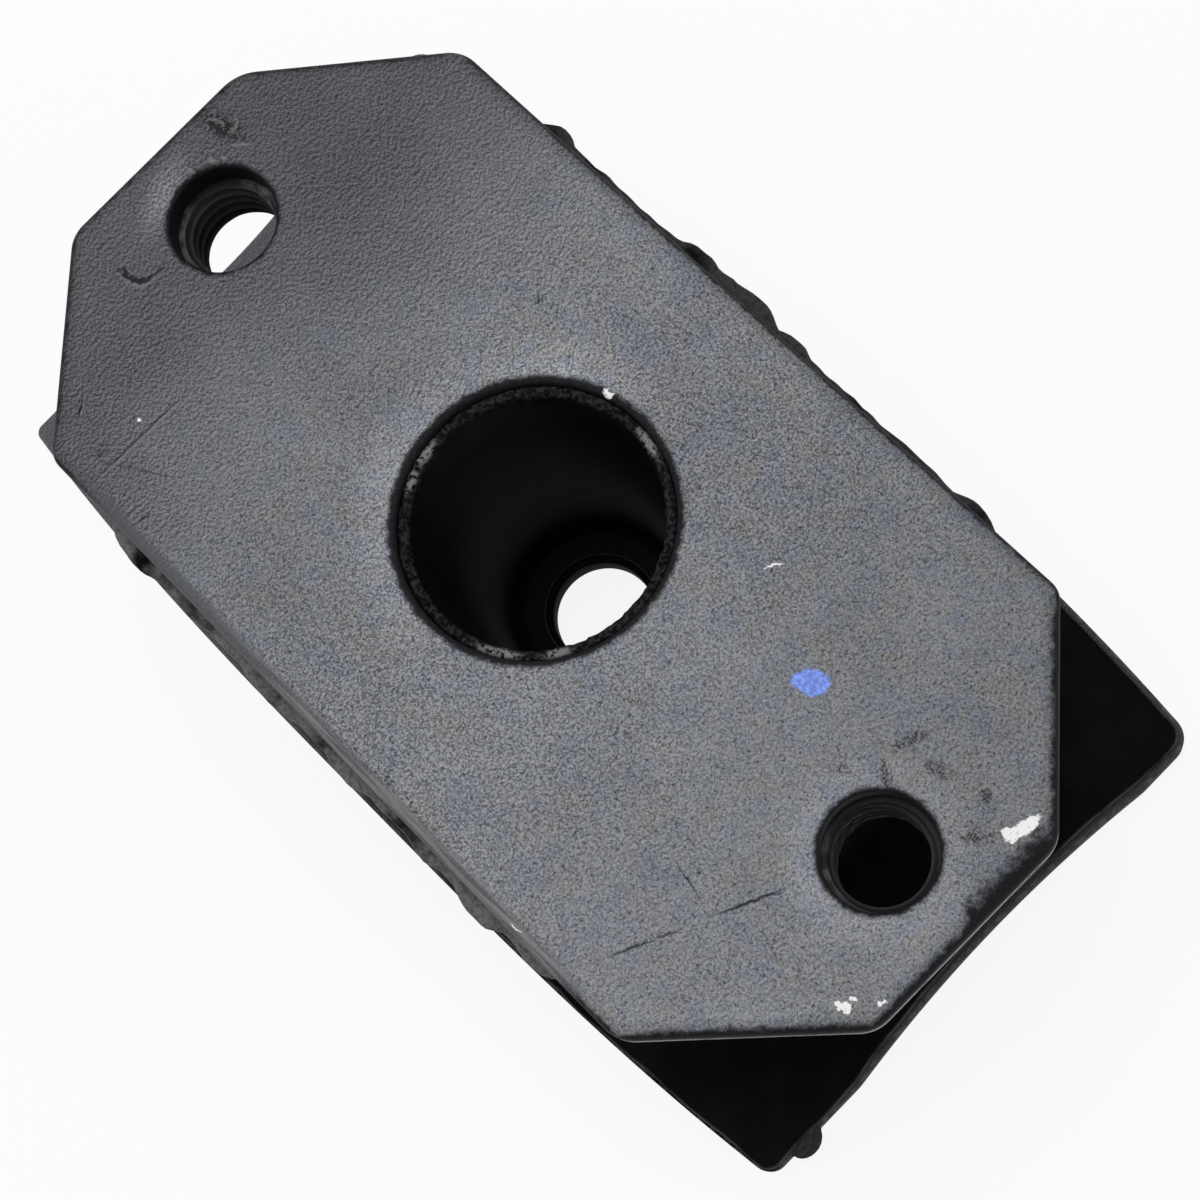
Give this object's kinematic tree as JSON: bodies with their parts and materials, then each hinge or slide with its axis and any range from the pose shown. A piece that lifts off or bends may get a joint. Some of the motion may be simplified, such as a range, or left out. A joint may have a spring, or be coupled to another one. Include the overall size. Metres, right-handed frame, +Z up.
{
  "type": "transmission mount",
  "caption": "Rubber transmission mount: an octagonal steel plate with threaded holes, a hollow rubber block with a round well, and a wider lower plate with a bolt hole.",
  "frame": {"origin": "centre of the lower bolt hole on the underside of the mount", "axes": "+Z up through the well to the top plate, +X along the length towards the near end, +Y across it"},
  "size_m": [0.1243, 0.0708, 0.0436],
  "materials": {
    "plate_coat": "satin black coating with fine grain",
    "nut_steel": "dull dark steel",
    "rubber": "moulded black rubber",
    "lower_coat": "satin black coating with fine grain"
  },
  "bodies": {
    "root": {"top_plate": "plate_coat", "far_nut": "nut_steel", "near_nut": "nut_steel", "rubber_body": "rubber", "lower_plate": "lower_coat"}
  },
  "joints": []
}
